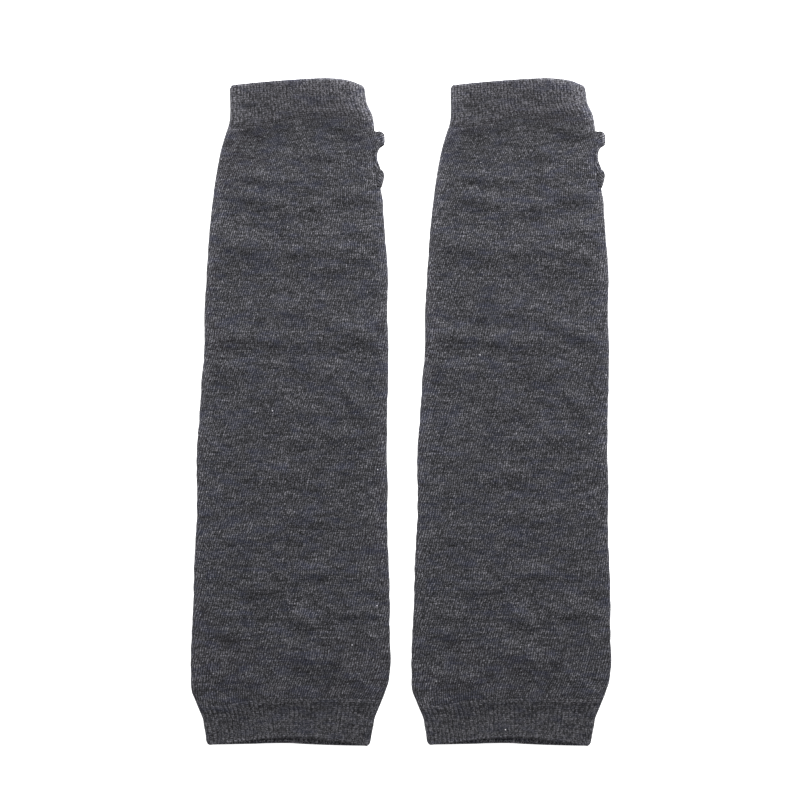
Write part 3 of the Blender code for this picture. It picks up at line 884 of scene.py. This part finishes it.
@dataclass(frozen=True)
class ThumbBand:
    """The knitted band round the thumb hole, with a lip at each end that stands past the side fold."""

    stations: int = 260
    face_steps: int = 12
    corner_steps: int = 4
    corner_radius: float = 0.3
    crown: float = 0.16
    lip_reach: float = 0.3
    wale_width: float = 1.1
    course_height: float = 0.9
    fold_paleness_reach: float = 2.6
    upper_lip_paleness: float = 1.9
    upper_lip: float = 273.0
    lip_length: float = 6.0
    outermost_x: float = 42.1

    def loop(self) -> tuple[Array, Array, Array]:
        """The whole loop of the band, as smooth closed curves.

        It runs over the front, round the lower fold, back under the rear, where its rows are the
        front's with the roll taken from 180 degrees, and round the upper fold.

        Returns:
            Points on the hole's edge, points on the tube's edge, and the roll in radians.
        """
        front = np.array(BAND_ROWS)
        rear = front[-2:0:-1].copy()
        rear[:, 4] = 180 - rear[:, 4]
        rear[:, 2] -= REAR_STAGGER * np.abs(np.cos(np.radians(rear[:, 4])))
        rows = np.concatenate([front, rear])
        middle = (rows[:, 0:2] + rows[:, 2:4]) / 2
        rolled = np.radians(rows[:, 4:5]) * FOLD_RADIUS
        steps = np.linalg.norm(np.diff(np.hstack([middle, rolled]), axis=0), axis=1)
        last_step = np.linalg.norm(middle[0] - middle[-1]) + abs(rolled[0, 0] - rolled[-1, 0])
        way = np.concatenate([[0], np.cumsum(np.append(steps, last_step))])
        total = way[-1]
        wrapped = np.concatenate([way[:-1] - total, way[:-1], way[:-1] + total])
        where = np.linspace(0, total, self.stations, endpoint=False)
        columns = [
            smooth_curve(where, np.column_stack([wrapped, np.tile(rows[:, k], 3)])) for k in range(5)
        ]
        hole = np.stack(columns[0:2], axis=-1)
        tube = np.stack(columns[2:4], axis=-1)
        return hole, tube, np.radians(np.clip(columns[4], 0, 180))

    def section(self) -> tuple[Array, Array, Array]:
        """A flat section with quarter-round corners.

        It runs over the outer face from the hole to the tube, round the rim, back along the inner face
        and round the rim at the hole.

        Returns:
            Share of the face's breadth, lean to either rim, and depth in the wall.
        """
        bend = np.linspace(0, math.pi / 2, self.corner_steps, endpoint=False)
        face = np.linspace(0, 1, self.face_steps, endpoint=False)
        far, near = np.ones_like(bend), np.zeros_like(bend)
        share = np.concatenate([face, far, far, 1 - face, near, near])
        flat = np.zeros_like(face)
        lean = np.concatenate([flat, np.sin(bend), np.cos(bend), flat, -np.sin(bend), -np.cos(bend)])
        fall = self.corner_radius * (1 - np.cos(bend))
        climb = self.corner_radius * (1 - np.sin(bend))
        depth = np.concatenate([flat, fall, WALL - climb, flat + WALL, WALL - fall, climb])
        return share[None, :], lean[None, :], depth[None, :]

    def surface(self) -> Surface:
        """The section carried round the loop, slightly crowned as a parabola.

        Wales are counted by length round the section and courses by the way along the loop.

        Returns:
            The closed surface.
        """
        hole, tube, turn = (part[:, None] for part in self.loop())
        share, lean, depth = self.section()
        width = np.linalg.norm(tube - hole, axis=-1)
        breadth = self.corner_radius * (1 + lean) + share * (width - 2 * self.corner_radius)
        part = breadth / width
        edge = hole - tube
        edge = edge / np.linalg.norm(edge, axis=-1, keepdims=True)
        outward = np.stack([edge[..., 1], -edge[..., 0]], axis=-1)
        outward = outward * np.sign(outward[..., :1])
        crown = self.crown * 4 * part * (1 - part)
        radius = FOLD_RADIUS - depth
        side = (radius + crown + self.lip_reach) * np.sin(turn)
        spot = hole + (tube - hole) * part[..., None] + outward * side[..., None]
        z = FOLD_RADIUS + radius * np.cos(turn) + crown * np.clip(np.cos(turn), 0, 1)
        points = np.stack([spot[..., 0], spot[..., 1] - LENGTH / 2, z], axis=-1)
        steps = np.linalg.norm(np.roll(points, -1, axis=1) - points, axis=-1)
        wale = np.concatenate([np.zeros_like(width), np.cumsum(steps, axis=1)], axis=1) / self.wale_width
        wale = np.concatenate([wale, wale[:1]])
        way = np.linalg.norm(np.roll(points, -1, axis=0) - points, axis=-1).mean(axis=1)
        course = np.concatenate([[0], np.cumsum(way)])[:, None] / self.course_height
        stitches = np.stack(np.broadcast_arrays(wale, course), axis=-1)
        from_edge = np.minimum(breadth, np.clip(self.outermost_x - spot[..., 0], 0, None))
        # paler towards the outer edge at the fold: brushed fuzz and painted light
        fluff_and_painted_light = TUBE.fold_fluff_and_light * np.exp(-from_edge / self.fold_paleness_reach)
        # paler towards the upper lip
        fluff_and_painted_light = fluff_and_painted_light + self.upper_lip_paleness * bell(spot[..., 1] - self.upper_lip, self.lip_length)
        return closed_surface(points, stitches, fluff_and_painted_light)


def linear(hex_colour: str) -> tuple[float, float, float, float]:
    """Linear colour of an sRGB hex value.

    Args:
        hex_colour: six digits, such as "4a494e".

    Returns:
        Linear red, green and blue, and 1 for opaque.
    """
    channels = [int(hex_colour[i : i + 2], 16) / 255 for i in (0, 2, 4)]
    values = [c / 12.92 if c <= 0.04045 else ((c + 0.055) / 1.055) ** 2.4 for c in channels]
    return (*values, 1.0)


def add_node(tree: bpy.types.NodeTree, kind: str, *values: object, **settings: object) -> bpy.types.Node:
    """Add a node with its settings, and fill its inputs in order.

    Args:
        tree: the node tree.
        kind: the node's type name.
        *values: one for each input: a node, whose first output is linked, a socket, a number or
            colour, or None to leave the input as it is.
        **settings: the node's own settings.

    Returns:
        The node.
    """
    node = tree.nodes.new(kind)
    for name, value in settings.items():
        setattr(node, name, value)
    inputs = [socket for socket in node.inputs if socket.enabled]
    for socket, value in zip(inputs, values):
        if isinstance(value, bpy.types.Node):
            tree.links.new(value.outputs[0], socket)
        elif isinstance(value, bpy.types.NodeSocket):
            tree.links.new(value, socket)
        elif value is not None:
            socket.default_value = value
    return node


MATH = "ShaderNodeMath"
VECTOR = "ShaderNodeVectorMath"
NOISE = "ShaderNodeTexNoise"
RANGE = "ShaderNodeMapRange"
XYZ = "ShaderNodeCombineXYZ"


@dataclass(frozen=True)
class MelangeKnit:
    """Charcoal melange yarn of dark and pale fibres, knitted: matte, slightly hairy, with V stitches.

    The UV map counts stitches, so one unit across is one wale or rib and one unit along is one course.
    Patterns on object coordinates are scaled in repeats to the metre.
    """

    name: str
    dark: str = "0c0c0e"
    middle: str = "39393d"
    pale: str = "76757b"
    blue: str = "31354b"
    nep: str = "a8a7ac"
    stitch_slope: float = 0.5
    legs_across: float = 2.0
    legs_along: float = 1.0
    relief_mm: float = 0.22
    column_power: float = 0.95
    notch: float = 0.3
    course_gap: float = 0.35
    strokes_across: float = 1.1
    strokes_along: float = 1.0
    stroke_weight: float = 0.7
    fibres_across: float = 2300.0
    fibres_along: float = 2600.0
    fibre_weight: float = 1.6
    patch_scale: tuple[float, float, float] = (45.0, 150.0, 45.0)
    patch_weight: float = 0.22
    blue_scale: tuple[float, float, float] = (130.0, 330.0, 130.0)
    most_blue: float = 0.36
    neps: float = 105.0
    nep_radius: float = 0.036
    cavity: float = 0.92
    dash_depth: float = 0.3
    brightness: float = 0.885
    fluff_and_light_gain: float = 0.35
    mix_low: float = 1.28
    mix_high: float = 2.07
    wander: float = 1.4
    wander_scale: tuple[float, float, float] = (170.0, 120.0, 170.0)
    speckle: float = 0.25
    streaks: float = 0.5

    def build(self) -> bpy.types.Material:
        """The material, worked out from stitch counts and object coordinates.

        Returns:
            The finish under its own name.
        """
        material = bpy.data.materials.new(self.name)
        material.use_nodes = True
        tree = material.node_tree
        tree.nodes.clear()
        add = partial(add_node, tree)

        # stitch counts, which wander a little, as no two stitches are pulled alike
        uv = add("ShaderNodeUVMap", uv_map="stitches")
        place = add("ShaderNodeTexCoord").outputs["Object"]
        wander_place = add(VECTOR, place, self.wander_scale, operation="MULTIPLY")
        wander = add(NOISE, wander_place, 1.0, 1.0, 0.5)
        wander = add(VECTOR, wander.outputs["Color"], (0.5, 0.5, 0.5), operation="SUBTRACT")
        reach = (self.wander, self.wander, 0.0)
        counts = add(VECTOR, wander, reach, uv, operation="MULTIPLY_ADD")
        split = add("ShaderNodeSeparateXYZ", counts)
        wale, course = split.outputs["X"], split.outputs["Y"]

        # two slanting legs of yarn to a stitch, highest on the wale's middle, with a notch between them
        edge = add(MATH, wale, 0.5, operation="PINGPONG")
        centre = add(MATH, edge, 2.0, operation="MULTIPLY")
        outward = add(MATH, 1.0, centre, operation="SUBTRACT")
        shift = add(MATH, outward, self.stitch_slope, operation="MULTIPLY")
        leg = add(MATH, course, shift, operation="SUBTRACT")
        phase = add(MATH, leg, 0.5, operation="PINGPONG")
        bulge = add(MATH, phase, 2.0, operation="MULTIPLY")
        column = add(MATH, centre, self.column_power, operation="POWER")
        notch = add(RANGE, centre, 0.75, 1.0, 1.0, 1.0 - self.notch)
        body = add(MATH, column, notch, operation="MULTIPLY")
        yarn = add(RANGE, bulge, 0.0, 0.7, 1.0 - self.course_gap, 1.0)
        height = add(MATH, body, yarn, operation="MULTIPLY")

        # yarn of dark and pale fibres: legs of stitches, streaks along a course, strokes, tufts of
        # fibres and patches; a real fibre is finer than a pixel, so it is drawn as a tuft of 0.4 mm
        leg_rows = add(MATH, leg, self.legs_along, operation="MULTIPLY")
        leg_row = add(MATH, leg_rows, operation="FLOOR")
        leg_columns = add(MATH, wale, self.legs_across, operation="MULTIPLY")
        leg_column = add(MATH, leg_columns, operation="FLOOR")
        leg_id = add(XYZ, leg_column, leg_row, 0.0)
        speckle = add("ShaderNodeTexWhiteNoise", leg_id, noise_dimensions="2D")
        streak_place = add(XYZ, wale, leg_row, 0.0)
        stretched = add(VECTOR, streak_place, (0.15, 0.83, 1.0), operation="MULTIPLY")
        streak = add(NOISE, stretched, 1.0, 2.0, 0.6, noise_dimensions="2D")
        stitch_place = add(XYZ, wale, course, 0.0)
        strokes = (self.strokes_across, self.strokes_along, 1.0)
        stroke_place = add(VECTOR, stitch_place, strokes, operation="MULTIPLY")
        stroke = add(NOISE, stroke_place, 1.0, 1.0, 0.5, noise_dimensions="2D")
        fibre_scale = (self.fibres_across, self.fibres_along, self.fibres_across)
        fibre_place = add(VECTOR, place, fibre_scale, operation="MULTIPLY")
        fibre = add(NOISE, fibre_place, 1.0, 2.0, 0.6)
        patch_place = add(VECTOR, place, self.patch_scale, operation="MULTIPLY")
        patch = add(NOISE, patch_place, 1.0, 3.0, 0.55)

        mix = add(MATH, speckle, self.speckle, operation="MULTIPLY")
        mix = add(MATH, stroke, self.stroke_weight, mix, operation="MULTIPLY_ADD")
        mix = add(MATH, streak, self.streaks, mix, operation="MULTIPLY_ADD")
        mix = add(MATH, fibre, self.fibre_weight, mix, operation="MULTIPLY_ADD")
        mix = add(MATH, patch, self.patch_weight, mix, operation="MULTIPLY_ADD")
        share = add(RANGE, mix, self.mix_low, self.mix_high, 0.0, 1.0)
        ramp = add("ShaderNodeValToRGB", share)
        ramp.color_ramp.elements[0].color = linear(self.dark)
        ramp.color_ramp.elements[1].color = linear(self.pale)
        ramp.color_ramp.elements.new(0.5).color = linear(self.middle)

        # bluish fibres, in patches
        blue_place = add(VECTOR, place, self.blue_scale, operation="MULTIPLY")
        blue_noise = add(NOISE, blue_place, 1.0, 2.0, 0.5)
        blue_share = add(RANGE, blue_noise, 0.48, 0.72, 0.0, self.most_blue)
        bluish = add("ShaderNodeMix", blue_share, data_type="RGBA", blend_type="MIX")
        tree.links.new(ramp.outputs["Color"], bluish.inputs[6])
        bluish.inputs[7].default_value = linear(self.blue)

        # pale neps, the small knots of fibre in carded yarn
        nep_cell = add("ShaderNodeTexVoronoi", place, self.neps, feature="F1")
        nep_near = add(MATH, nep_cell.outputs["Distance"], self.nep_radius, operation="LESS_THAN")
        nep_pick = add("ShaderNodeSeparateColor", nep_cell.outputs["Color"])
        nep_chosen = add(RANGE, nep_pick, 0.3, 1.0, 0.0, 0.9)
        nep_share = add(MATH, nep_near, nep_chosen, operation="MULTIPLY")

        # painted shade between the stitches, darker dashes along a course, and the fluff attribute:
        # brushed yarn with painted light and painted shade
        shade = add(RANGE, height, 0.0, 0.8, 1.0 - self.cavity, 1.0)
        dash_place = add(VECTOR, stitch_place, (0.09, 0.6, 1.0), operation="MULTIPLY")
        dash = add(NOISE, dash_place, 1.0, 1.0, 0.5, noise_dimensions="2D")
        darkest = self.brightness * (1.0 - self.dash_depth)
        dash = add(RANGE, dash, 0.58, 0.72, self.brightness, darkest)
        shade = add(MATH, shade, dash, operation="MULTIPLY")
        # the fluff attribute multiplies painted light and painted shade into the colour, besides the
        # paleness of brushed yarn
        fluff_and_painted_light = add("ShaderNodeAttribute", attribute_name="fluff_and_painted_light").outputs["Fac"]
        fluff_and_light_factor = add(MATH, fluff_and_painted_light, self.fluff_and_light_gain, 1.0, operation="MULTIPLY_ADD")
        shade = add(MATH, shade, fluff_and_light_factor, operation="MULTIPLY")
        shaded = add(VECTOR, bluish.outputs[2], shade, operation="MULTIPLY")
        colour = add("ShaderNodeMix", nep_share, data_type="RGBA", blend_type="MIX")
        tree.links.new(shaded.outputs[0], colour.inputs[6])
        colour.inputs[7].default_value = linear(self.nep)

        # matte wool-like yarn: the stitches' height with fine hairs on it
        fuzz_height = add(MATH, fibre, 0.25, height, operation="MULTIPLY_ADD")
        bump = add("ShaderNodeBump", 0.8, self.relief_mm * MM)
        tree.links.new(fuzz_height.outputs[0], bump.inputs["Height"])

        shader = add("ShaderNodeBsdfPrincipled")
        tree.links.new(colour.outputs[2], shader.inputs["Base Color"])
        tree.links.new(bump.outputs[0], shader.inputs["Normal"])
        shader.inputs["Roughness"].default_value = 0.92
        shader.inputs["IOR"].default_value = 1.45
        shader.inputs["Specular IOR Level"].default_value = 0.12
        shader.inputs["Sheen Weight"].default_value = 0.12
        shader.inputs["Sheen Roughness"].default_value = 0.5
        shader.inputs["Sheen Tint"].default_value = linear("d8d6dc")
        add("ShaderNodeOutputMaterial", shader)
        return material


@dataclass(frozen=True)
class Studio:
    """Pale floor, soft light from the finger end and the right, and the camera straight above."""

    photo_width_mm: float = 360.0
    camera_height: float = 2.0
    camera_x_mm: float = -0.37
    camera_y_mm: float = 5.37
    sensor_mm: float = 36.0
    floor_size: float = 6.0
    floor_colour: str = "f4f4f4"
    key_power: float = 100.0
    world_strength: float = 0.5
    table_glow: float = 0.8

    def build(self) -> None:
        """Make the floor, the lights, the world and the camera."""
        self.add_camera()
        self.add_floor()
        self.add_light("key_light", (0.14, 0.90, 0.38), (0.0, 0.0, 0.0), (3.2, 0.4), self.key_power)
        self.add_world()

    def add_camera(self) -> None:
        """Camera straight above; its lens makes the photo's width fill the picture at the cloth."""
        data = bpy.data.cameras.new("camera")
        data.sensor_width = self.sensor_mm
        data.lens = self.sensor_mm * self.camera_height / (self.photo_width_mm * MM)
        data.clip_start = 0.01
        camera = bpy.data.objects.new("camera", data)
        camera.location = (self.camera_x_mm * MM, self.camera_y_mm * MM, self.camera_height)
        bpy.context.scene.collection.objects.link(camera)
        bpy.context.scene.camera = camera

    def add_floor(self) -> None:
        """A wide plain light table under the cloth, lit a little from below so that shadows stay faint."""
        half = self.floor_size / 2
        mesh = bpy.data.meshes.new("floor")
        corners = [(-half, -half, 0.0), (half, -half, 0.0), (half, half, 0.0), (-half, half, 0.0)]
        mesh.from_pydata(corners, [], [(0, 1, 2, 3)])
        material = bpy.data.materials.new("white_acrylic_light_table")
        material.use_nodes = True
        shader = material.node_tree.nodes["Principled BSDF"]
        shader.inputs["Base Color"].default_value = linear(self.floor_colour)
        shader.inputs["Roughness"].default_value = 0.9
        shader.inputs["Emission Color"].default_value = linear("ffffff")
        shader.inputs["Emission Strength"].default_value = self.table_glow
        mesh.materials.append(material)
        floor = bpy.data.objects.new("floor", mesh)
        bpy.context.scene.collection.objects.link(floor)

    def add_light(
        self,
        name: str,
        place: tuple[float, ...],
        target: tuple[float, ...],
        size: tuple[float, float],
        power: float,
    ) -> None:
        """A soft light panel at a place, turned to a target.

        Args:
            name: the light's name.
            place: its middle, in metres.
            target: the point it faces.
            size: its length across and along, in metres.
            power: its power in watts.
        """
        data = bpy.data.lights.new(name, "AREA")
        data.shape = "RECTANGLE"
        data.size, data.size_y = size
        data.energy = power
        light = bpy.data.objects.new(name, data)
        light.location = place
        light.rotation_euler = (Vector(target) - Vector(place)).to_track_quat("-Z", "Y").to_euler()
        bpy.context.scene.collection.objects.link(light)

    def add_world(self) -> None:
        """Even white surroundings."""
        world = bpy.data.worlds.new("studio")
        world.use_nodes = True
        background = world.node_tree.nodes["Background"]
        background.inputs["Color"].default_value = linear("ffffff")
        background.inputs["Strength"].default_value = self.world_strength
        bpy.context.scene.world = world
        bpy.context.scene.view_settings.view_transform = "Standard"


@dataclass(frozen=True)
class ArmWarmer:
    """One arm warmer: its four pieces, moved to its side of the pair."""

    side: str
    centre_x: float
    knits: dict[str, bpy.types.Material]

    def add_piece(self, node: str, surface: Surface, knit: str) -> bpy.types.Object:
        """Make a piece from its surface, in the place of its node.

        Args:
            node: name of the node without the side.
            surface: the piece about the arm's centre line.
            knit: which finish it takes.

        Returns:
            The piece.
        """
        moved = replace(surface, points=surface.points + np.array([self.centre_x, 0, 0]))
        piece = moved.to_object(f"{self.side}_{node}_knit", self.knits[knit])
        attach(piece, "root")
        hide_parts(f"{self.side}_{node}")
        LOG.info("%s: %d quads", piece.name, len(surface.quads))
        return piece

    def build(self, surfaces: dict[str, Surface]) -> None:
        """Args:
            surfaces: the pieces' surfaces by name of node, about the arm's centre line.
        """
        tube = self.add_piece("arm_tube", surfaces["arm_tube"], "jersey")
        band = self.add_piece("thumb_band", surfaces["thumb_band"], "band")
        for mouth in Mouth:
            rib = self.add_piece(mouth.value, surfaces[mouth.value], "rib")


def main() -> None:
    """Build the studio, the finishes and both arm warmers."""
    Studio().build()
    knits = {
        "jersey": MelangeKnit("charcoal_melange_jersey_knit").build(),
        "rib": MelangeKnit(
            "charcoal_melange_rib_knit",
            stitch_slope=0.3,
            legs_across=4.0,
            legs_along=1.5,
            column_power=0.5,
            notch=0.35,
            course_gap=0.6,
            strokes_across=3.4,
            strokes_along=0.6,
            fibres_across=2900.0,
            fibres_along=2000.0,
            cavity=0.7,
            brightness=0.5,
            mix_low=1.15,
            mix_high=2.12,
            wander=1.1,
            speckle=0.6,
            streaks=0.3,
        ).build(),
        "band": MelangeKnit("charcoal_melange_band_knit", brightness=0.92).build(),
    }
    surfaces = {
        "arm_tube": ArmTube().surface(),
        "thumb_band": ThumbBand().surface(),
        Mouth.FINGERS.value: RibEdge(Mouth.FINGERS).surface(),
        Mouth.ELBOW.value: RibEdge(Mouth.ELBOW, rise=0.15).surface(),
    }
    for side, centre_x in (("left", -SPACING / 2), ("right", SPACING / 2)):
        ArmWarmer(side, centre_x, knits).build(surfaces)


if __name__ == "__main__":
    main()
